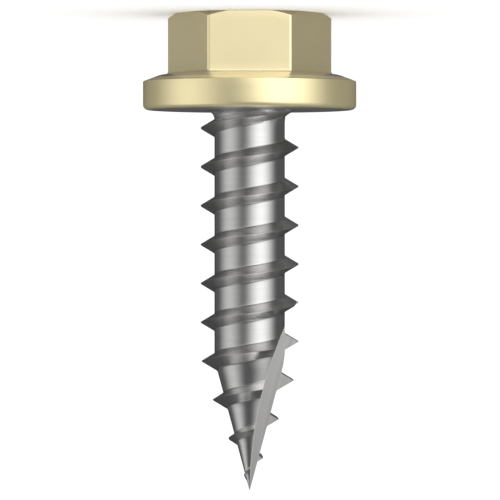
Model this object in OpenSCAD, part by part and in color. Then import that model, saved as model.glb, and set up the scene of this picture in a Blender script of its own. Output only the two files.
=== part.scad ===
// Flanged hex head screw with a coarse wood thread and a fluted point.
// It stands on its head. The bearing face under the flange is the plane z = 0,
// the point is at +Z, and the head lies below the plane.

/* [Shank] */
// Length from the bearing face to the tip
shank_len = 24.9; // [20:0.1:40]
// Diameter of the shank between the threads
root_d = 4.6; // [4:0.1:5.2]
// Fillet radius where the shank leaves the flange
neck_r = 0.65; // [0.3:0.05:0.9]

/* [Thread] */
// Diameter over the crests
thread_d = 6.4; // [6:0.1:7.5]
// Advance in one turn
thread_pitch = 2.54; // [2.3:0.02:3.2]
// Angle between the two flanks
thread_angle = 60; // [50:1:64]
// Width of the narrow flat on the crest
crest_land = 0.06; // [0.02:0.01:0.16]
// Height of the first full crest above the bearing face
first_crest = 1.18; // [0.8:0.02:2.4]
// Angle at which the crest sinks towards the neck from there
runout_angle = 14; // [8:1:30]

/* [Point] */
// Angle of the pointed shank, from side to side
point_angle = 30; // [25:1:36]
// Angle of the cone that the crests follow, from side to side
crest_point_angle = 44; // [40:1:56]
// Radius that blends the straight shank into the point
point_blend_r = 5.5; // [2:0.5:9]
// Radius that blends the level crests into their cone
crest_blend_r = 8; // [2:0.5:10]
// Part of a turn in which the thread fades out before the tip
fade_turns = 0.3; // [0.2:0.05:0.6]

/* [Flute] */
// Radius of the disc cutter that mills the flute
flute_r = 26; // [18:1:36]
// Distance below the tip where the cutter's rim meets the axis
flute_end = 0.1; // [0:0.05:0.4]

/* [Flange] */
// Diameter of the flange
flange_d = 13.95; // [13:0.05:16]
// Height of the straight rim's upper edge above the bearing face
rim_h = 1.86; // [1.2:0.02:2.1]
// Height of the flange where it meets the hexagon
flange_h = 2.32; // [2.2:0.02:2.6]
// Slope of the bevel between them
bevel_angle = 21; // [18:1:35]
// Radius that softens the bevel's inner end
bevel_blend_r = 2; // [0.5:0.1:2.4]
// Radius round the flange's lower edge
flange_edge_r = 0.33; // [0.1:0.01:0.6]

/* [Hexagon] */
// Width across the flats
hex_af = 9.3; // [8.8:0.05:10]
// Height of the whole head, from the bearing face to the crown
head_h = 6.3; // [5:0.05:8]
// Radius on the upright edges
hex_edge_r = 0.2; // [0.1:0.02:0.4]
// Fillet radius at the foot of the hexagon
hex_foot_r = 0.2; // [0.1:0.02:0.3]
// Diameter of the flat on the crown
crown_d = 9.6; // [8.4:0.05:9.8]
// Slope of the chamfer round the crown
crown_angle = 30; // [20:1:45]

/* [Hidden] */

paint = [0.87, 0.82, 0.64];
steel = [0.62, 0.62, 0.61];

round_fn = 72;
arc_steps = 6;
thread_steps = 48;

// Depth to which the shank and the hexagon are sunk in the flange
bury = 1;
// Share of the shank's radius at which the flanks stand in it
foot_share = 0.8;
// Share of it to which the crest has sunk where the thread ends
sunk_share = 0.9;
// Distance below the tip where the thread ends
tip_clear = 0.3;

root_r = root_d / 2;
crest_r = thread_d / 2;
flange_r = flange_d / 2;
flank_slope = tan(thread_angle / 2);
thread_start = -360 * (first_crest + bury) / thread_pitch;
thread_end = 360 * (shank_len - tip_clear - first_crest) / thread_pitch;

// Points on a round stretch from angle a0 to a1, in equal steps
function arc(centre, r, a0, a1) =
    [for (i = [0:arc_steps])
        let (a = a0 + (a1 - a0) * i / arc_steps)
        centre + r * [cos(a), sin(a)]];

// Skin over a row of rings with as many points each. Seen from the far
// end of the row, the points of a ring run clockwise.
module loft(rings) {
    n = len(rings[0]);
    last = n * (len(rings) - 1);
    sides = [for (i = [0:len(rings) - 2], k = [0:n - 1])
        let (a = n * i + k)
        let (b = n * i + (k + 1) % n)
        each [[a, b + n, a + n], [a, b, b + n]]];
    near_end = [for (k = [n - 1:-1:0]) k];
    far_end = [for (k = [0:n - 1]) last + k];
    polyhedron([for (ring = rings) each ring], concat(sides, [near_end, far_end]));
}

// Where a cone of this half angle, with its point at the tip, would
// meet a rod of radius r
function corner_z(r, half) = shank_len - r / tan(half);

// How far a round blend reaches to each side of that corner
function blend_reach(half, blend) = blend * tan(half / 2);

// Radius at height z of such a pointed rod, with the corner blended
function pointed_r(z, r, half, blend) =
    let (start = corner_z(r, half) - blend_reach(half, blend))
    let (end = corner_z(r, half) + blend_reach(half, blend) * cos(half))
    z <= start ? r
    : z >= end ? (shank_len - z) * tan(half)
    : r - blend + sqrt(pow(blend, 2) - pow(z - start, 2));

function shank_r(z) = pointed_r(max(z, 0), root_r, point_angle / 2, point_blend_r);

// Radius that the crest reaches at height z: it grows out of the neck,
// runs level, and follows its own cone down to the tip
function envelope_r(z) =
    min(
        pointed_r(z, crest_r, crest_point_angle / 2, crest_blend_r),
        crest_r - max(0, first_crest - z) * tan(runout_angle)
    );

// The shank's outline: neck fillet, straight part, blend and point
function shank_outline() =
    let (half = point_angle / 2)
    let (start = corner_z(root_r, half) - blend_reach(half, point_blend_r))
    concat(
        [[0, -bury], [root_r + neck_r, -bury]],
        arc([root_r + neck_r, neck_r], neck_r, 270, 180),
        arc([root_r - point_blend_r, start], point_blend_r, 0, half),
        [[0, shank_len]]
    );

// One cut through the thread at turn angle a: the two feet of the
// flanks, which stand in the shank, and the two edges of the crest
function thread_cut(a) =
    let (z = first_crest + thread_pitch * a / 360)
    let (foot = foot_share * shank_r(z))
    let (sunk = sunk_share * shank_r(z))
    let (left = min(1, (thread_end - a) / (360 * fade_turns)))
    let (top = sunk + (envelope_r(z) - sunk) * left)
    let (land = crest_land / 2 * top / crest_r)
    let (spread = land + (top - foot) * flank_slope)
    [for (p = [[foot, -spread], [top, -land], [top, land], [foot, spread]])
        [p[0] * cos(a), p[0] * sin(a), z + p[1]]];

module thread() {
    count = ceil((thread_end - thread_start) / 360 * thread_steps);
    loft([for (i = [0:count])
        thread_cut(thread_start + (thread_end - thread_start) * i / count)]);
}

module shank() {
    color(steel) {
        rotate_extrude($fn = round_fn) polygon(shank_outline());
        thread();
    }
}

// The disc that mills the flute. Its side lies in a plane through the
// axis, and its rim sweeps out of the shank in a long curve.
module flute_cutter() {
    color(steel)
        translate([-flute_r, 0, shank_len - flute_end])
            rotate([90, 0, 0])
                cylinder(r = flute_r, h = thread_d, $fn = 360);
}

// The flange's outline: flat bearing face, rounded edge, straight rim,
// and a bevel that eases into a flat round the hexagon
function flange_outline() =
    let (corner = flange_r - (flange_h - rim_h) / tan(bevel_angle))
    let (reach = bevel_blend_r * tan(bevel_angle / 2))
    concat(
        [[0, 0]],
        arc([flange_r - flange_edge_r, -flange_edge_r], flange_edge_r, 90, 0),
        [[flange_r, -rim_h]],
        arc([corner - reach, bevel_blend_r - flange_h], bevel_blend_r,
            bevel_angle - 90, -90),
        [[0, -flange_h]]
    );

// A hexagon with round corners, larger all round by the given amount
function hex_outline(grow = 0) =
    let (reach = (hex_af / 2 - hex_edge_r) / cos(30))
    [for (k = [0:5])
        let (a = 60 * k)
        each arc(reach * [cos(a), sin(a)], hex_edge_r + grow, a - 30, a + 30)];

// A wide round blank with the crown's chamfer turned on its end
module crown_blank() {
    wide = hex_af;
    rotate_extrude($fn = round_fn)
        polygon([
            [0, -head_h],
            [crown_d / 2, -head_h],
            [wide, -head_h + (wide - crown_d / 2) * tan(crown_angle)],
            [wide, 0],
            [0, 0]
        ]);
}

module hexagon() {
    intersection() {
        translate([0, 0, -head_h])
            linear_extrude(head_h - bury) polygon(hex_outline());
        crown_blank();
    }
}

// The fillet between the hexagon and the flange
module hex_foot() {
    centre = [hex_foot_r, -flange_h - hex_foot_r];
    profile = concat([[hex_foot_r, -bury]], arc(centre, hex_foot_r, 90, 180));
    loft([for (p = profile)
        [for (q = hex_outline(p[0])) [q[0], q[1], p[1]]]]);
}

module head() {
    color(paint) {
        rotate_extrude($fn = round_fn) polygon(flange_outline());
        hexagon();
        hex_foot();
    }
}

module screw() {
    difference() {
        union() {
            head();
            shank();
        }
        flute_cutter();
    }
}

screw();
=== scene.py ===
# %% [markdown]
# # A flanged hex head screw
#
# The real screw is one length of steel wire. A cold header strikes the hexagon
# and the flange on its end, flat dies roll the coarse thread, and a disc cutter
# mills a flute in the point. Last, the head alone is painted.
#
# This lesson builds it in that order, in mesh code, round a imported CAD model
# that fixes the sizes. The screw stands on its head: the bearing face under the
# flange is the plane z = 0, and the point is at +Z.

# %% Load the frame
import math

import bmesh
import bpy
import numpy as np
from mathutils import Matrix


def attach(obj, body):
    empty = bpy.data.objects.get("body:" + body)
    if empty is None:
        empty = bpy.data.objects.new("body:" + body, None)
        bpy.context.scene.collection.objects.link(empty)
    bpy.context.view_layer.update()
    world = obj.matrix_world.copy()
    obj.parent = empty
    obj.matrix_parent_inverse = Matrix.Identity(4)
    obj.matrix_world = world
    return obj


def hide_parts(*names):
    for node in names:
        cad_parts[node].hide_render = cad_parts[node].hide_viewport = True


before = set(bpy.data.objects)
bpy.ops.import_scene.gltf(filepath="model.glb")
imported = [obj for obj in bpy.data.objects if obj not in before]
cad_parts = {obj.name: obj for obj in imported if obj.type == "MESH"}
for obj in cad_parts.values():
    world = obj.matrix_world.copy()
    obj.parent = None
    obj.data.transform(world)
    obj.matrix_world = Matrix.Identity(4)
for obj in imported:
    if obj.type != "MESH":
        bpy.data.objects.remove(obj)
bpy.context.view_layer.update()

# %% [markdown]
# ## One skin for every turned form
#
# Head and shank are both round about the Z axis, or nearly so. Each can be
# drawn as rows of points: a row goes once round the axis, and every point of it
# has a radius and a height. Blender's Screw or Spin would turn a fixed outline,
# but neither the hexagon nor the thread has one, so the rows are computed and
# a short function joins them with four-sided faces.
#
# The work is done in millimetres, as a drawing gives them, and each finished
# mesh is scaled to metres once.

# %% Helper: points round the axis
MM = 0.001


def round_points(azimuth, radius, height):
    """Points in space at these azimuths, radii and heights."""
    azimuth, radius, height = np.broadcast_arrays(azimuth, radius, height)
    angle = np.radians(azimuth)
    return np.stack([radius * np.cos(angle), radius * np.sin(angle), height], axis=-1)


# %% Helper: the faces between closed rows
def faces_between(row_count, around):
    """Four-sided faces that join each row to the next, all the way round."""
    faces = []
    for row in range(row_count - 1):
        below, above = row * around, (row + 1) * around
        for here in range(around):
            there = (here + 1) % around
            faces.append([below + here, below + there, above + there, above + here])
    return faces


# %% Helper: a welded mesh object
weld_distance = 1e-5
shortest_edge = 1e-6


def new_mesh_object(name, points, faces, face_finish=None):
    """A mesh object in which points that fell together, as at a tip, are one."""
    mesh = bpy.data.meshes.new(name)
    mesh.from_pydata(points.reshape(-1, 3).tolist(), [], faces)
    if face_finish is not None:
        mesh.polygons.foreach_set("material_index", face_finish)
    work = bmesh.new()
    work.from_mesh(mesh)
    bmesh.ops.remove_doubles(work, verts=work.verts, dist=weld_distance)
    bmesh.ops.dissolve_degenerate(work, edges=work.edges, dist=shortest_edge)
    bmesh.ops.recalc_face_normals(work, faces=work.faces)
    open_edges = sum(1 for edge in work.edges if not edge.is_manifold)
    work.to_mesh(mesh)
    work.free()
    made = bpy.data.objects.new(name, mesh)
    bpy.context.scene.collection.objects.link(made)
    print(f"{name}: {len(mesh.polygons)} faces, {open_edges} open edges")
    return made


# %% [markdown]
# ## The head's outline from above
#
# A hexagon with slightly round upright edges. Seen from the axis, a flat side
# has the radius half-width / cos(angle from its middle), and a round edge is a
# small circle about a centre that lies a little further in. Growing the outline
# by an even amount gives the curves of the fillet at its foot.
#
# The columns stand close together at the six edges, where the outline turns,
# and wider apart along the flats.

# %% Columns round the head
near_an_edge = [0, 0.27, 0.54, 0.8, 1.07, 1.55, 2.08, 2.6]
near_the_next = [60 - a for a in near_an_edge if a]
along_a_flat = np.linspace(3.3, 56.7, 35)

sector = sorted({round(a, 3) for a in (*near_an_edge, *near_the_next, *along_a_flat)})
head_azimuths = np.array([60 * edge + a for edge in range(6) for a in sector])
print("columns round the head:", len(head_azimuths))

# %% Radius of the hexagon at every azimuth
hex_across_flats = 9.3
hex_edge_radius = 0.2
half_sector = math.radians(30)


def hexagon_radius(azimuth, grow=0.0):
    """Distance from the axis to the hexagon, grown by an even amount."""
    from_edge = np.radians((azimuth + 30) % 60 - 30)
    flat = (hex_across_flats / 2 + grow) / np.cos(half_sector - np.abs(from_edge))
    centre = (hex_across_flats / 2 - hex_edge_radius) / math.cos(half_sector)
    edge = hex_edge_radius + grow
    reach = math.atan2(edge / 2, centre + edge * math.cos(half_sector))
    inside = np.clip(edge**2 - (centre * np.sin(from_edge)) ** 2, 0, None)
    rounded = centre * np.cos(from_edge) + np.sqrt(inside)
    return np.where(np.abs(from_edge) < reach, rounded, flat)


side_radius = hexagon_radius(head_azimuths)
print("across the edges:", round(2 * float(side_radius.max()), 2), "mm")

# %% [markdown]
# ## The crown
#
# The header leaves a flat crown with a chamfer that cuts the six corners. No
# real edge is a knife edge, and light caught on the small rounding is what
# makes it look like metal. A Bevel modifier could round it, but it would also
# round the upright edges again. Instead the outline is drawn a little too small
# and a ball of that radius is rolled round it: each row is the place the ball
# touches for one direction.

# %% Where the rolling ball's centre goes
head_height = 6.3
crown_radius = 4.8
crown_slope = math.radians(30)
crown_edge_radius = 0.075

ball_at_side = side_radius - crown_edge_radius
ball_at_chamfer = np.minimum(
    crown_radius - crown_edge_radius * math.tan(crown_slope / 2), ball_at_side
)
chamfer_width = ball_at_side - ball_at_chamfer
crown_ball_height = -head_height + crown_edge_radius
side_ball_height = crown_ball_height + chamfer_width * math.tan(crown_slope)
print("chamfer at a corner:", round(float(chamfer_width.max()), 2), "mm wide")

# %% Helper: rows of the head, one at a time or round an edge
head_rows = []


def add_head_row(radius, height):
    head_rows.append(round_points(head_azimuths, radius, height))


def add_rounding(ball, ball_height, ball_radius, tilts):
    """Rows where a ball at this place touches the skin, one for each tilt."""
    for tilt in tilts:
        out, down = ball_radius * math.sin(tilt), ball_radius * math.cos(tilt)
        add_head_row(ball + out, ball_height - down)


# %% Rows of the crown, from its middle to the hexagon's sides
quarter_turn = math.pi / 2

for share in (0, 0.25, 0.5, 0.75, 0.92):
    add_head_row(ball_at_chamfer * share, -head_height)
inner_tilts = np.linspace(0, crown_slope, 4)
add_rounding(ball_at_chamfer, crown_ball_height, crown_edge_radius, inner_tilts)
outer_tilts = np.linspace(crown_slope, quarter_turn, 7)
add_rounding(ball_at_side, side_ball_height, crown_edge_radius, outer_tilts)
print("rows of the crown:", len(head_rows))

# %% [markdown]
# ## Sides, foot and flange
#
# Below the crown the rows run down the six flats, round the small fillet at the
# hexagon's foot, and out over the flange. The flange's top is flat near the
# hexagon and eases into a bevel, the rim is straight, and its lower edge is
# generously round. The rows are spaced by what the surface does: many on a
# curve, few on a straight stretch.

# %% Rows of the six sides and of the fillet at their foot
flange_height = 2.32
foot_radius = 0.2
foot_height = -flange_height - foot_radius

for share in (0.12, 0.35, 0.65, 0.88):
    below_the_ball = (foot_height - side_ball_height) * share
    add_head_row(side_radius, side_ball_height + below_the_ball)
for turn in np.linspace(0, quarter_turn, 9):
    add_head_row(
        hexagon_radius(head_azimuths, foot_radius * (1 - math.cos(turn))),
        foot_height + foot_radius * math.sin(turn),
    )
print("rows to the hexagon's foot:", len(head_rows))

# %% Height of the flange's top at any radius
flange_diameter = 13.94
rim_height = 1.86
bevel_slope = math.radians(21)
bevel_blend_radius = 2.0

flange_radius = flange_diameter / 2
bevel_corner = flange_radius - (flange_height - rim_height) / math.tan(bevel_slope)
blend_start = bevel_corner - bevel_blend_radius * math.tan(bevel_slope / 2)
blend_end = blend_start + bevel_blend_radius * math.sin(bevel_slope)


def flange_top(radius):
    """Height of the flange's top at this radius: flat, blend, bevel."""
    past = np.clip(radius - blend_start, 0, blend_end - blend_start)
    sunk = bevel_blend_radius - np.sqrt(bevel_blend_radius**2 - past**2)
    sunk = sunk + np.clip(radius - blend_end, 0, None) * math.tan(bevel_slope)
    return -flange_height + sunk


print("the bevel starts at radius", round(blend_start, 2), "mm")

# %% Rows of the flange's top
rim_edge_radius = 0.055
foot_outline = hexagon_radius(head_azimuths, foot_radius)
rim_ball = flange_radius - rim_edge_radius

for share in (0.15, 0.3, 0.45, 0.6, 0.75, 0.9, 1.0):
    radius = foot_outline + (blend_end - foot_outline) * share
    add_head_row(radius, flange_top(radius))
for share in (0.35, 0.7):
    radius = blend_end + (rim_ball - blend_end) * share
    add_head_row(radius, flange_top(radius))
print("rows to the rim's upper edge:", len(head_rows))

# %% Rows of the rim and of its upper edge
lower_edge_radius = 0.33
rim_ball_height = float(
    flange_top(rim_ball + rim_edge_radius * math.sin(bevel_slope))
    + rim_edge_radius * math.cos(bevel_slope)
)
rim_tilts = np.linspace(bevel_slope, quarter_turn, 5)
add_rounding(rim_ball, rim_ball_height, rim_edge_radius, rim_tilts)

straight_rim = rim_ball_height + lower_edge_radius
for share in (0.3, 0.7):
    add_head_row(flange_radius, rim_ball_height - straight_rim * share)
print("rows to the rim's lower end:", len(head_rows))

# %% [markdown]
# ## The edge of the paint
#
# The head is sprayed from the crown's side, and the paint wraps round the
# flange's lower edge and stops where the flat bearing face begins. So the last
# rows of the rounding close the painted part, and the faces that follow get the
# second material slot, bare steel.

# %% Rows of the rounding and of the bearing face
for turn in np.linspace(0, quarter_turn, 9):
    add_head_row(
        flange_radius - lower_edge_radius * (1 - math.cos(turn)),
        -lower_edge_radius * (1 - math.sin(turn)),
    )
painted_rows = len(head_rows) - 1
bearing_radius = flange_radius - lower_edge_radius
for share in (0.97, 0.85, 0.7, 0.5, 0.25, 0):
    add_head_row(bearing_radius * share, 0)
print("rows with paint:", painted_rows, "of", len(head_rows))

# %% Join the rows, and number the faces by their finish
PAINT, BEARING_FACE = 0, 1
head_faces = faces_between(len(head_rows), len(head_azimuths))
painted_faces = painted_rows * len(head_azimuths)
bare_faces = len(head_faces) - painted_faces
head_finish = [PAINT] * painted_faces + [BEARING_FACE] * bare_faces
painted_head = new_mesh_object(
    "painted_head", np.array(head_rows), head_faces, head_finish
)

# %% [markdown]
# ## The shank and its thread
#
# Rolling pushes the metal up out of the root into a sharp ridge that climbs
# 2.54 mm in every turn. The surface is one radius at every azimuth and height:
# the larger of the shank and of the ridge, with the corner between them filled
# a little, as a die leaves it. The ridge runs out into the neck and follows a
# steeper cone than the shank at the point.

# %% Radius of the shank without its thread
shank_length = 24.9
root_radius = 2.3
neck_radius = 0.65
point_half_angle = math.radians(15)
point_blend_radius = 5.5


def pointed_radius(height, radius, half_angle, blend_radius):
    """A rod with a conical point at the tip and a round blend between them."""
    corner = shank_length - radius / math.tan(half_angle)
    start = corner - blend_radius * math.tan(half_angle / 2)
    end = start + blend_radius * math.sin(half_angle)
    past = np.clip(height - start, 0, end - start)
    blend = radius - blend_radius + np.sqrt(blend_radius**2 - past**2)
    cone = (shank_length - height) * math.tan(half_angle)
    return np.where(height >= end, cone, blend)


def rod_radius(height):
    """The shank with its point alone."""
    return pointed_radius(height, root_radius, point_half_angle, point_blend_radius)


def core_radius(height):
    """The shank with its point and with the fillet at the neck."""
    height = np.clip(height, 0, shank_length)
    up = np.clip(neck_radius - height, 0, neck_radius)
    neck = neck_radius - np.sqrt(neck_radius**2 - up**2)
    return rod_radius(height) + neck


print("across the foot of the neck:", round(2 * float(core_radius(0)), 2), "mm")

# %% Radius of the ridge's top
crest_radius = 3.2
crest_half_angle = math.radians(22)
crest_blend_radius = 8
thread_pitch = 2.54
first_crest = 1.18
runout_slope = math.tan(math.radians(14))
sunk_share = 0.9
fade_turns = 0.3
tip_clear = 0.3
last_crest = shank_length - tip_clear


def crest_top(crest_height):
    """Radius of the ridge's top where its middle is at this height."""
    sunk = sunk_share * rod_radius(np.clip(crest_height, 0, None))
    on_cone = pointed_radius(
        crest_height, crest_radius, crest_half_angle, crest_blend_radius
    )
    below_first = np.clip(first_crest - crest_height, 0, None)
    level = np.minimum(on_cone, crest_radius - below_first * runout_slope)
    turns_left = (last_crest - crest_height) / thread_pitch
    return sunk + (level - sunk) * np.clip(turns_left / fade_turns, -1, 1)


print("over the first crest:", round(2 * float(crest_top(first_crest)), 2), "mm")

# %% Radius of the whole surface
flank_slope = math.tan(math.radians(30))
crest_land = 0.008
least_top = 0.2
root_filling = 0.022


def screw_radius(azimuth, height):
    """Radius of the threaded shank at any azimuth and height."""
    first = first_crest + thread_pitch * azimuth / 360
    nearest = first + thread_pitch * np.round((height - first) / thread_pitch)
    top = crest_top(nearest)
    land = crest_land / 2 * np.clip(top, least_top, None) / crest_radius
    ridge = top + (land - np.hypot(height - nearest, land)) / flank_slope
    core = core_radius(height)
    return (core + ridge + np.hypot(core - ridge, root_filling * core)) / 2


between_crests = first_crest + thread_pitch / 2
print("root radius:", round(float(screw_radius(0, between_crests)), 2), "mm")

# %% [markdown]
# ## Rows that follow the helix
#
# A straight grid would cut across the ridge and leave it with steps. Here every
# row climbs with the thread instead, so the crest is one unbroken line of edges
# and the faces are small only where the surface bends: at the crest and at the
# root. Going once round, a row ends where the row one turn higher begins.

# %% Heights of the rows in one turn
ridge_places = [0, 0.01, 0.05, 0.25, 0.55, 0.82, 0.94, 1.0, 1.06, 1.18, 1.4]
root_places = [0.35, 0.7]
least_half_width = 0.08
shank_columns = 240
column_azimuths = (np.arange(shank_columns) + 0.5) * 360 / shank_columns


def rows_of_one_turn(turn):
    """Heights of the rows from half a pitch below this turn's crest to above it."""
    crest = first_crest + thread_pitch * (turn + column_azimuths / 360)
    half_width = (crest_top(crest) - core_radius(crest)) * flank_slope
    half_width = np.clip(half_width, least_half_width, None)
    above = [half_width * place for place in ridge_places]
    gap = thread_pitch / 2 - above[-1]
    above += [above[-1] + gap * place for place in root_places]
    below = [-thread_pitch / 2] + [-offset for offset in above[:0:-1]]
    return [crest + offset for offset in below + above]


rows_per_turn = len(rows_of_one_turn(0))
print("rows in a turn:", rows_per_turn)

# %% All rows, from the bearing face to the tip
turns = math.ceil(shank_length / thread_pitch) + 1
row_heights = [row for turn in range(-1, turns) for row in rows_of_one_turn(turn)]
row_heights = np.clip(np.array(row_heights), 0, shank_length)
shank_radii = screw_radius(column_azimuths, row_heights)
shank_radii[row_heights >= shank_length] = 0
print("rows of the shank:", len(row_heights))

# %% Join them, close the base and weld the tip
shank_points = round_points(column_azimuths, shank_radii, row_heights).reshape(-1, 3)
shank_points = np.vstack([shank_points, [[0, 0, 0]]])
base_centre = len(shank_points) - 1

shank_faces = []
for row in range(len(row_heights) - 1):
    for column in range(shank_columns):
        left = row * shank_columns + column
        right = left + 1
        if column == shank_columns - 1:
            right = (row + rows_per_turn) * shank_columns
        left_above, right_above = left + shank_columns, right + shank_columns
        if right_above < base_centre:
            shank_faces.append([left, right, right_above, left_above])
for column in range(shank_columns):
    shank_faces.append([base_centre, (column + 1) % shank_columns, column])
threaded_shank = new_mesh_object("threaded_shank", shank_points, shank_faces)

# %% [markdown]
# ## The flute
#
# A disc cutter mills the point on one side. Its side leaves a flat in a plane
# through the axis, and its rim leaves a long curved wall. Chips gather in the
# flute while the screw cuts its way into the timber. A Boolean with a disc of
# the cutter's own size does what the machine does, and it cuts the last turns
# of the thread so that their profile stands on the flat.

# %% The cutter, as a thick slice of a disc
cutter_radius = 26
flute_end = 0.1
cutter_height = shank_length - flute_end
cutter_thickness = 7
cutter_left_end = -9
arc_from, arc_to, arc_step = -36, 8.01, 0.25


def disc_cutter():
    """The part of the disc that reaches the screw."""
    rim_angles = np.radians(np.arange(arc_from, arc_to, arc_step))
    across = cutter_radius * np.cos(rim_angles) - cutter_radius
    up = cutter_radius * np.sin(rim_angles) + cutter_height
    rim = np.stack([across, up], axis=1)
    back = [[cutter_left_end, up[-1]], [cutter_left_end, up[0]]]
    outline = np.vstack([rim, back])
    count = len(outline)
    points = [[x, y, z] for y in (0, -cutter_thickness) for x, z in outline]
    ends = [list(range(count)), list(range(2 * count - 1, count - 1, -1))]
    return new_mesh_object(
        "disc_cutter", np.array(points), faces_between(2, count) + ends
    )


# %% Helper: keep what the modifiers made
def apply_modifiers(piece):
    """Keeps the mesh that the modifiers made, and takes them off."""
    graph = bpy.context.evaluated_depsgraph_get()
    made = bpy.data.meshes.new_from_object(piece.evaluated_get(graph))
    piece.modifiers.clear()
    piece.data = made


# %% Cut the flute
cutter = disc_cutter()
cut = threaded_shank.modifiers.new("flute", "BOOLEAN")
cut.operation, cut.solver, cut.object = "DIFFERENCE", "EXACT", cutter
apply_modifiers(threaded_shank)
bpy.data.objects.remove(cutter)
print("faces after the cut:", len(threaded_shank.data.polygons))

# %% [markdown]
# ## Where the steel was rolled and milled, and where light is painted
#
# The flute carries the cutter's marks, so its faces get a slot of their own:
# they lie on the cutter's flat or on its wall. The rest was rolled. Its root is
# given a darker copy of the steel and its flanks and neck a brighter one. This is
# painted light, so that light going to and fro in the groove comes out brighter
# and the neck looks lit. The same value makes flanks and neck a little rougher.
# That change is gradual, so it isn't a slot but a value on the points: 0 at the
# root, 1 on the flanks.

# %% Sort the faces of the shank
ROLLED, MILLED = 0, 1
close_to_flat = 2e-4
close_to_wall = 2e-3

counts = [0, 0]
for face in threaded_shank.data.polygons:
    x, y, z = face.center
    from_cutter_axis = math.hypot(x + cutter_radius, z - cutter_height)
    on_flat = abs(y) < close_to_flat and x < 0
    on_wall = y < 0 and abs(from_cutter_axis - cutter_radius) < close_to_wall
    face.material_index = MILLED if on_flat or on_wall else ROLLED
    counts[face.material_index] += 1
print("rolled and milled faces:", counts)

# %% Mark each point's share of painted light: 0 at the root, 1 on the flanks
full_flank = 0.06
neck_brightness = 0.4
neck_reach = 1.6
least_core = 0.05

spots = np.array([point.co for point in threaded_shank.data.vertices])
from_the_axis = np.hypot(spots[:, 0], spots[:, 1])
stands_out = from_the_axis / core_radius(spots[:, 2]).clip(least_core) - 1
on_flank = np.clip(stands_out / full_flank, 0, 1)
# painted light and roughness in the neck: 0.4 of the flanks' share near the bearing
# face
in_neck = neck_brightness * np.clip(neck_reach - spots[:, 2] / neck_radius, 0, 1)
painted_light_and_roughness = threaded_shank.data.attributes.new("painted_light_and_roughness", "FLOAT", "POINT")
painted_light_and_roughness.data.foreach_set("value", np.maximum(on_flank, in_neck).astype(np.float32))
print("share of points on the flanks:", round(float((on_flank > 0.5).mean()), 2))

# %% [markdown]
# ## Shading
#
# The real surfaces are smooth, so the shading has to hide the small faces and
# keep the true edges: the flute's rim and little else. Weighted normals let the
# large flat faces stay flat right up to their rounded edges, as on a CAD model.

# %% Smooth the shading and go over to metres
true_edge_angle = math.radians(28)

for piece in (painted_head, threaded_shank):
    piece.data.shade_smooth()
    piece.data.set_sharp_from_angle(angle=true_edge_angle)
    weighted = piece.modifiers.new("even_shading", "WEIGHTED_NORMAL")
    weighted.keep_sharp = True
    piece.data.transform(Matrix.Scale(MM, 4))
    apply_modifiers(piece)
    triangles = sum(len(face.vertices) - 2 for face in piece.data.polygons)
    print(piece.name, "triangles:", triangles)

# %% [markdown]
# ## Helpers for the finishes
#
# Every finish is a Principled shader. A value that is the same all over is set
# on its socket. What changes from place to place comes from noise that is fixed
# to the object, so the marks stay where they are when the screw is turned.
# Short functions make the nodes, and each gives back the socket with its
# result, so that a finish reads from top to bottom like a recipe.

# %% Helper: a new material, and nodes with their sockets filled
def new_material(name):
    material = bpy.data.materials.new(name)
    material.use_nodes = True
    return material, material.node_tree


def fill_sockets(tree, node, inputs):
    """Puts a number, a colour or a link on each of these sockets."""
    for key, value in inputs.items():
        if isinstance(value, bpy.types.NodeSocket):
            tree.links.new(value, node.inputs[key])
        else:
            node.inputs[key].default_value = value


def add_node(tree, kind, inputs, settings=None):
    """A new node with its settings made and its sockets filled."""
    node = tree.nodes.new(kind)
    for key, value in (settings or {}).items():
        setattr(node, key, value)
    fill_sockets(tree, node, inputs)
    return node


# %% Helper: the two ways to finish a material
def principled(tree, inputs):
    """Fills sockets of the Principled shader that a new material has."""
    fill_sockets(tree, tree.nodes["Principled BSDF"], inputs)


def plain_shader(tree, kind, inputs):
    """Puts a simpler shader in its place."""
    tree.nodes.remove(tree.nodes["Principled BSDF"])
    shader = add_node(tree, kind, inputs)
    fill_sockets(tree, tree.nodes["Material Output"], {"Surface": shader.outputs[0]})


# %% Helper: maths with numbers and with places
def maths(tree, operation, *values):
    inputs, settings = dict(enumerate(values)), {"operation": operation}
    return add_node(tree, "ShaderNodeMath", inputs, settings).outputs["Value"]


def vector_maths(tree, operation, *values):
    inputs, settings = dict(enumerate(values)), {"operation": operation}
    result = "Value" if operation == "LENGTH" else "Vector"
    return add_node(tree, "ShaderNodeVectorMath", inputs, settings).outputs[result]


# %% Helper: colours and places
def linear(red, green, blue):
    """A colour as seen on a screen, in the linear values that shaders use."""
    return (*[((c + 0.055) / 1.055) ** 2.4 for c in (red, green, blue)], 1.0)


def millimetres(tree, x=1.0, y=1.0, z=1.0):
    """The place on the object in millimetres, stretched along the axes if asked."""
    place = add_node(tree, "ShaderNodeTexCoord", {}).outputs["Object"]
    return vector_maths(tree, "MULTIPLY", place, (x / MM, y / MM, z / MM))


def height_of(tree):
    """Height over the bearing face in millimetres."""
    place = {"Vector": millimetres(tree)}
    return add_node(tree, "ShaderNodeSeparateXYZ", place).outputs["Z"]


def from_axis(tree):
    """Distance from the screw's axis in millimetres."""
    level = vector_maths(tree, "MULTIPLY", millimetres(tree), (1, 1, 0))
    return vector_maths(tree, "LENGTH", level)


def point_value(tree, name):
    """A value that the mesh carries on its points."""
    settings = {"attribute_name": name}
    return add_node(tree, "ShaderNodeAttribute", {}, settings).outputs["Fac"]


# %% Helper: noise in space, and noise along one distance
def noise(tree, place, scale, detail):
    inputs = {"Vector": place, "Scale": scale, "Detail": detail}
    return add_node(tree, "ShaderNodeTexNoise", inputs).outputs["Fac"]


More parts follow.
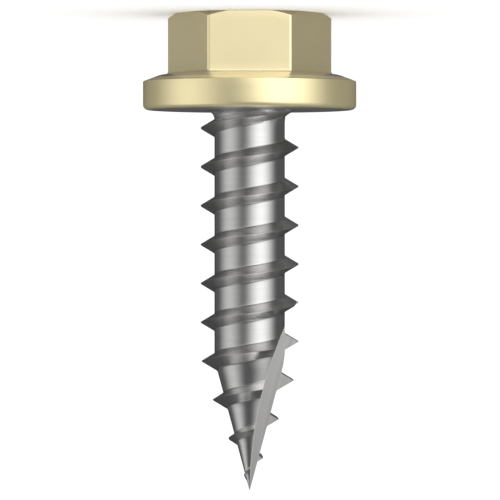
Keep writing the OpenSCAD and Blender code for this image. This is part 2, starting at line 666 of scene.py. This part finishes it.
def rings(tree, distance, scale, detail):
    """Rings or arcs: this noise is the same wherever the distance is the same."""
    inputs = {"W": distance, "Scale": scale, "Detail": detail}
    settings = {"noise_dimensions": "1D"}
    return add_node(tree, "ShaderNodeTexNoise", inputs, settings).outputs["Fac"]


# %% Helper: ranges, a blend of two colours, and fine relief
usual_noise = (0.3, 0.7)


def slope(tree, value, start, end, low=0.0, high=1.0):
    """Low at the start, high at the end, and even between them."""
    ends = {"From Min": start, "From Max": end, "To Min": low, "To Max": high}
    inputs = {"Value": value, **ends}
    return add_node(tree, "ShaderNodeMapRange", inputs).outputs["Result"]


def spread(tree, value, low, high):
    """Stretches noise, which lies mostly in its usual range, from low to high."""
    return slope(tree, value, *usual_noise, low, high)


def blend_of(tree, share, first, second):
    """One colour into another, by a share from 0 to 1."""
    share_in, first_in, second_in, colour_out = 0, 6, 7, 2
    inputs = {share_in: share, first_in: first, second_in: second}
    node = add_node(tree, "ShaderNodeMix", inputs, {"data_type": "RGBA"})
    return node.outputs[colour_out]


def relief(tree, height, depth):
    """Bump from 0 to this depth in millimetres."""
    inputs = {"Height": height, "Strength": 1.0, "Distance": depth * MM}
    return add_node(tree, "ShaderNodeBump", inputs).outputs["Normal"]


# %% [markdown]
# ## Champagne enamel
#
# The head's paint is a warm pale gold with fine metal in it. It is thin and
# follows every edge, with the faint waviness of sprayed enamel. A plain gold
# metal would turn black where nothing bright is reflected, and a plain paint
# would miss the soft sheen on the rim. So the shader is part metal, part
# colour, with a thin clear coat, and its tone drifts a little from place to
# place.
#
# The hexagon is given paler tones than the rim: painted light, which lifts its
# flats. In the hollow of the flange's top, at the hexagon's foot, the tone is
# greyer and the share of metal higher, and towards the rim the share of metal
# falls. The greyer tone is painted light that takes out the gold of the light
# bouncing between hexagon and flange. The metal shares make the hollow darker
# beside the hexagon and lighter at the rim. Slopes on the height and on the
# distance from the axis place all this.

# %% Tones of the enamel
# painted light: the hexagon's tones are paler than the rim's, to lift its flats
hexagon_painted_light_pale, hexagon_painted_light_deep = linear(0.988, 0.934, 0.751), linear(0.975, 0.921, 0.738)
rim_pale, rim_deep = linear(0.960, 0.908, 0.716), linear(0.947, 0.895, 0.703)
# painted light: greyer tones for the hollow, in place of the gold of the light that
# bounces there
hollow_painted_light_inner, hollow_painted_light_outer = linear(0.918, 0.882, 0.808), linear(0.945, 0.900, 0.765)
enamel_metal = 0.75
more_metal_in_hollow = 0.14
less_metal_outside = -0.38
enamel_roughness = (0.278, 0.302)
peel_depth = 0.0012
print("enamel, linear:", [round(part, 2) for part in hexagon_painted_light_pale[:3]])

# %% Where they change: each band starts at 0 and ends at 1, in millimetres
hexagon_band = (-flange_height + 0.05, -flange_height - 0.15)
foot_band = (-flange_height - 0.12, -flange_height + 0.02)
rim_band = (-rim_height - 0.02, -rim_height - 0.14)
outer_band = (6.25, 6.6)
print("the hexagon's tone begins at height", round(hexagon_band[0], 2))


# %% Material of the head
def champagne_enamel():
    material, tree = new_material("champagne_enamel")
    drift = noise(tree, millimetres(tree), scale=0.35, detail=3)
    peel = noise(tree, millimetres(tree), scale=1.3, detail=0)
    height = height_of(tree)
    # painted light: this share gives the hexagon its paler tones
    hexagon = slope(tree, height, *hexagon_band)
    outside_foot = slope(tree, height, *foot_band)
    inside_rim = slope(tree, height, *rim_band)
    hollow = maths(tree, "MULTIPLY", outside_foot, inside_rim)
    outer = slope(tree, from_axis(tree), *outer_band)

    pale = blend_of(tree, hexagon, rim_pale, hexagon_painted_light_pale)
    deep = blend_of(tree, hexagon, rim_deep, hexagon_painted_light_deep)
    tone = blend_of(tree, spread(tree, drift, 0, 1), pale, deep)
    # painted light: the hollow takes the greyer tones, from its inner to its outer
    # part
    tone = blend_of(tree, hollow, tone, blend_of(tree, outer, hollow_painted_light_inner, hollow_painted_light_outer))
    metal_change = maths(
        tree, "MULTIPLY_ADD", outer, less_metal_outside, more_metal_in_hollow
    )
    look = {
        "Base Color": tone,
        "Metallic": maths(tree, "MULTIPLY_ADD", hollow, metal_change, enamel_metal),
        "Roughness": spread(tree, drift, *enamel_roughness),
        "Normal": relief(tree, peel, peel_depth),
        "Coat Weight": 0.1,
        "Coat Roughness": 0.12,
    }
    principled(tree, look)
    return material


# %% [markdown]
# ## Steel from the dies
#
# The flat dies roll the blank between them, so what they leave runs round the
# shank: faint drawn-out streaks, close together along the axis and long round
# it. A picture of such streaks would show a seam, so noise squeezed along Z
# gives them. The value on the points blends a darker copy of the steel at the
# root into a brighter one on the flanks and in the neck: painted light. In the
# groove light goes to and fro between flank and root before it leaves, and the
# brighter flank makes that light come out brighter. The neck is the dullest
# part: no die reaches it.

# %% Tones of the rolled steel
# painted light: the root's tones are a shaded copy and the flanks' tones a lit copy of
# one steel
root_painted_shade_tones = (linear(0.752, 0.750, 0.748), linear(0.732, 0.730, 0.726))
flank_painted_light_tones = (linear(0.905, 0.903, 0.900), linear(0.885, 0.883, 0.879))
rolled_roughness = (0.18, 0.225)
duller_on_flanks = 0.04
duller_at_neck = 0.2
neck_band = (0.9 * neck_radius, 0.3 * neck_radius)
streak_depth = 0.0003
print("flank to root, linear:", round(flank_painted_light_tones[0][0] / root_painted_shade_tones[0][0], 2))


# %% Material of the root, the flanks and the neck
def rolled_steel():
    material, tree = new_material("rolled_steel")
    squeezed = millimetres(tree, x=0.35, y=0.35, z=5.0)
    streaks = noise(tree, squeezed, scale=1.0, detail=2)
    clouds = noise(tree, millimetres(tree), scale=0.6, detail=1)
    share = spread(tree, streaks, 0, 1)
    # painted light: darker at the root, brighter on the flanks and in the neck
    root = blend_of(tree, share, *root_painted_shade_tones)
    flank = blend_of(tree, share, *flank_painted_light_tones)
    painted_light_and_roughness_share = point_value(tree, "painted_light_and_roughness")

    roughness = spread(tree, clouds, *rolled_roughness)
    roughness = maths(tree, "MULTIPLY_ADD", painted_light_and_roughness_share, duller_on_flanks, roughness)
    at_neck = slope(tree, height_of(tree), *neck_band)
    roughness = maths(tree, "MULTIPLY_ADD", at_neck, duller_at_neck, roughness)
    look = {
        "Metallic": 1.0,
        "Base Color": blend_of(tree, painted_light_and_roughness_share, root, flank),
        "Roughness": roughness,
        "Normal": relief(tree, streaks, streak_depth),
    }
    principled(tree, look)
    return material


# %% [markdown]
# ## Steel from the cutter
#
# A milled face carries the path of the cutter's teeth. Straight stripes would
# look right on the flat and wrong on the curved wall. Here they are arcs about
# the cutter's own axis, so the marks depend only on the distance from it. That
# distance, fed into a noise of one dimension, gives fine arcs that run along
# the flute on its flat and on its wall alike. Towards the tip the steel is a
# little darker.

# %% Tones of the milled steel
tip_tones = (linear(0.768, 0.766, 0.762), linear(0.724, 0.722, 0.718))
upper_tones = (linear(0.815, 0.812, 0.806), linear(0.768, 0.765, 0.760))
brighter_band = (22.5, 15.5)
milled_roughness = (0.34, 0.44)
mark_depth = 0.0015
print("the flute darkens over", brighter_band[0] - brighter_band[1], "mm")


# %% Material of the flute
def milled_steel():
    material, tree = new_material("milled_steel")
    to_cutter = (cutter_radius, 0, -cutter_height)
    place = vector_maths(tree, "MULTIPLY_ADD", millimetres(tree), (1, 0, 1), to_cutter)
    arcs = rings(tree, vector_maths(tree, "LENGTH", place), scale=4.5, detail=3)
    upper = slope(tree, height_of(tree), *brighter_band)
    light = blend_of(tree, upper, tip_tones[0], upper_tones[0])
    dark = blend_of(tree, upper, tip_tones[1], upper_tones[1])
    look = {
        "Metallic": 1.0,
        "Base Color": blend_of(tree, spread(tree, arcs, 0, 1), light, dark),
        "Roughness": spread(tree, arcs, *milled_roughness),
        "Normal": relief(tree, arcs, mark_depth),
    }
    principled(tree, look)
    return material


# %% [markdown]
# ## Steel from the header
#
# The bearing face is pressed flat between the die and the wire, and the metal
# flows outwards over it. That leaves a dull skin with faint rings. Modelled
# rings would be far too coarse, so the noise runs on the distance from the
# screw's axis.

# %% Tones of the struck steel
struck_tones = (linear(0.91, 0.91, 0.905), linear(0.86, 0.86, 0.855))
struck_roughness = (0.36, 0.46)
flow_depth = 0.0015
print("depth of the rings:", flow_depth, "mm")


# %% Material of the bearing face
def struck_steel():
    material, tree = new_material("struck_steel")
    flow = rings(tree, from_axis(tree), scale=2.6, detail=3)
    clouds = noise(tree, millimetres(tree), scale=0.9, detail=3)
    look = {
        "Metallic": 1.0,
        "Base Color": blend_of(tree, spread(tree, flow, 0, 1), *struck_tones),
        "Roughness": spread(tree, clouds, *struck_roughness),
        "Normal": relief(tree, flow, flow_depth),
    }
    principled(tree, look)
    return material


# %% Give the faces their finishes, in the order of their numbers
for piece, finishes in (
    (painted_head, (champagne_enamel, struck_steel)),
    (threaded_shank, (rolled_steel, milled_steel)),
):
    for make_finish in finishes:
        piece.data.materials.append(make_finish())
    print(piece.name, "finishes:", [finish.name for finish in piece.data.materials])

# %% [markdown]
# ## The floor
#
# A wide sheet of white paper. It takes the screw's soft shadow and gives the
# picture its white ground. It is kept out of reflections: a white floor close
# by would light the underside of every flank, where the photograph is dark.

# %% Helper: a flat disc with enough faces to shade well
def disc_mesh(name, radius, height, rows=12, around=96):
    azimuths = np.arange(around) * 360 / around
    points = [
        round_points(azimuths, radius * k / rows, height) for k in range(rows + 1)
    ]
    return new_mesh_object(name, np.array(points), faces_between(rows + 1, around))


# %% The floor and its paper
floor_radius = 2.0
paper_white = (0.985, 0.985, 0.985, 1)


def pale_paper():
    material, tree = new_material("pale_paper")
    plain_shader(tree, "ShaderNodeBsdfDiffuse", {"Color": paper_white})
    return material


floor = disc_mesh("floor", floor_radius, -head_height * MM)
floor.data.materials.append(pale_paper())
floor.visible_glossy = False

# %% [markdown]
# ## Light for matt surfaces
#
# A plain white world lights paint and paper evenly, close to the level at which
# a colour shows as it is written. It gives the white background. Lamps would do
# it too, but each would leave a shadow of its own on the paper.

# %% The world
air_strength = 1.1

world = bpy.data.worlds.new("studio_air")
world.use_nodes = True
air = {"Color": (1, 1, 1, 1), "Strength": air_strength}
fill_sockets(world.node_tree, world.node_tree.nodes["Background"], air)
world.cycles.sampling_method = "NONE"
bpy.context.scene.world = world
print("strength of the white world:", air_strength)

# %% [markdown]
# ## Light for glossy surfaces
#
# Metal shows its surroundings. A catalogue picture of a screw is taken in a
# tent: dark cloth all round with two tall soft boxes, a strong one to the right
# of the camera and a weaker one to the left. Their soft edges make the broad
# bands on shank and rim. The right one shines most strongly low down and has a
# fainter wing above. Straight behind the screw the cloth is darkest, and that
# keeps the flanks dark where they are seen at a glancing angle.
#
# Area lamps would need many layers to fade like that, so the tent is one large
# sphere, and a formula gives each of its points its brightness. It is seen by
# reflections alone.

# %% Helper: a soft-edged window in an angle
def smooth(value):
    value = np.clip(value, 0, 1)
    return value * value * (3 - 2 * value)


def window(value, low, high, soft):
    """1 between low and high, 0 outside, with edges that take this many degrees."""
    return smooth((value - low) / soft + 0.5) * smooth((high - value) / soft + 0.5)


# %% The cloth. A window is written (from, to, softness of its edges), in degrees
cloth_level = 0.15
ceiling_level = 0.12
ceiling_heights = (65, 120, 20)
dark_patches = [
    # how much darker, window across, window upright
    (0.04, (148, 212, 24), (-34, 2, 16)),
    (0.05, (172, 212, 24), (-34, 2, 16)),
    (0.09, (140, 212, 24), (2, 62, 16)),
]
print("dark patches behind the screw:", len(dark_patches))

# %% The soft boxes. Where an edge leans, it moves this much for each degree up
box_level = 1.18
box_inner, box_inner_lean, box_outer, box_softness = 2.5, 0.5, 69, 69
box_heights = (-72, 12, 20)
wing_level = 0.68
wing_inner, wing_inner_lean = 6, 0.7
wing_outer, wing_outer_lean, wing_softness = 67, 0.6, 54
wing_heights = (-72, 43, 28)
left_level = 0.86
left_sides = (-98, -40, 56)
left_heights = (-38, 43, 28)
print("right box to left box:", round(box_level / left_level, 2))


# %% Brightness of the tent
def tent_glow(side, up):
    """side is the angle to the right in the picture, up the one over the horizon."""
    cloth = cloth_level + ceiling_level * window(up, *ceiling_heights)
    around = side % 360
    dark_back = 0
    for depth, sides, heights in dark_patches:
        dark_back = dark_back + depth * window(around, *sides) * window(up, *heights)

    inner = box_inner + box_inner_lean * up
    right_box = box_level * window(side, inner, box_outer, box_softness)
    right_box = right_box * window(up, *box_heights)
    above = np.clip(up, 0, None)
    inner = wing_inner + wing_inner_lean * above
    outer = wing_outer + wing_outer_lean * above
    right_wing = wing_level * window(side, inner, outer, wing_softness)
    right_wing = right_wing * window(up, *wing_heights)
    left_box = left_level * window(side, *left_sides) * window(up, *left_heights)
    return cloth - dark_back + right_box + right_wing + left_box


for side, up in ((40, -20), (-70, 0), (180, 0)):
    glow = float(tent_glow(np.array([side]), up)[0])
    print(f"glow at {side} degrees to the right, {up} up: {glow:.2f}")

# %% The tent's mesh, with the brightness as a value on its points
tent_distance = 0.6
tent_step = 2.0


def light_tent():
    side, up = np.meshgrid(
        np.arange(-180, 180, tent_step), np.arange(-90, 90.1, tent_step)
    )
    flat = tent_distance * np.cos(np.radians(up))
    x, y = -flat * np.sin(np.radians(side)), -flat * np.cos(np.radians(side))
    rows = np.stack([x, y, tent_distance * np.sin(np.radians(up))], axis=-1)
    mesh = bpy.data.meshes.new("light_tent")
    mesh.from_pydata(rows.reshape(-1, 3).tolist(), [], faces_between(*side.shape))
    mesh.attributes.new("glow", "FLOAT", "POINT")
    mesh.attributes["glow"].data.foreach_set("value", tent_glow(side, up).reshape(-1))
    tent = bpy.data.objects.new("light_tent", mesh)
    bpy.context.scene.collection.objects.link(tent)
    return tent


# %% The tent's cloth, which only reflections see
def tent_cloth():
    material, tree = new_material("tent_cloth")
    glow = {"Strength": point_value(tree, "glow")}
    plain_shader(tree, "ShaderNodeEmission", glow)
    return material


tent = light_tent()
tent.data.materials.append(tent_cloth())
tent.visible_camera = False
tent.visible_diffuse = False
print("faces of the tent:", len(tent.data.polygons))

# %% [markdown]
# ## The camera
#
# The photograph looks level at the middle of the screw from about 30 cm, and
# shows the head at the top. The screw stands on its head here, so the camera is
# rolled by half a turn. A picture that is 500 pixels wide, with one millimetre
# of the screw on 15.3 of them, fixes the lens once the distance is known.

# %% Camera
camera_distance = 0.3007
camera_height = 0.00915
camera_shift = -0.000024
pixels_per_mm = 15.3
picture_width = 500

eye = bpy.data.cameras.new("camera")
eye.lens = eye.sensor_width * pixels_per_mm * camera_distance / MM / picture_width
camera = bpy.data.objects.new("camera", eye)
camera.location = (camera_shift, -camera_distance, camera_height)
camera.rotation_euler = (math.radians(90), math.radians(180), 0)
bpy.context.scene.collection.objects.link(camera)
bpy.context.scene.camera = camera
bpy.context.scene.view_settings.view_transform = "Standard"
print("lens:", round(eye.lens, 1), "mm")

# %% [markdown]
# ## Hand over
#
# Both pieces are the one real screw, so both ride on its body and stand for its
# CAD solid.

# %% Both pieces ride on the root body, and the CAD solid is hidden
for piece, finish in ((painted_head, "head_paint"), (threaded_shank, "steel")):
    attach(piece, "root")
    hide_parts("screw")
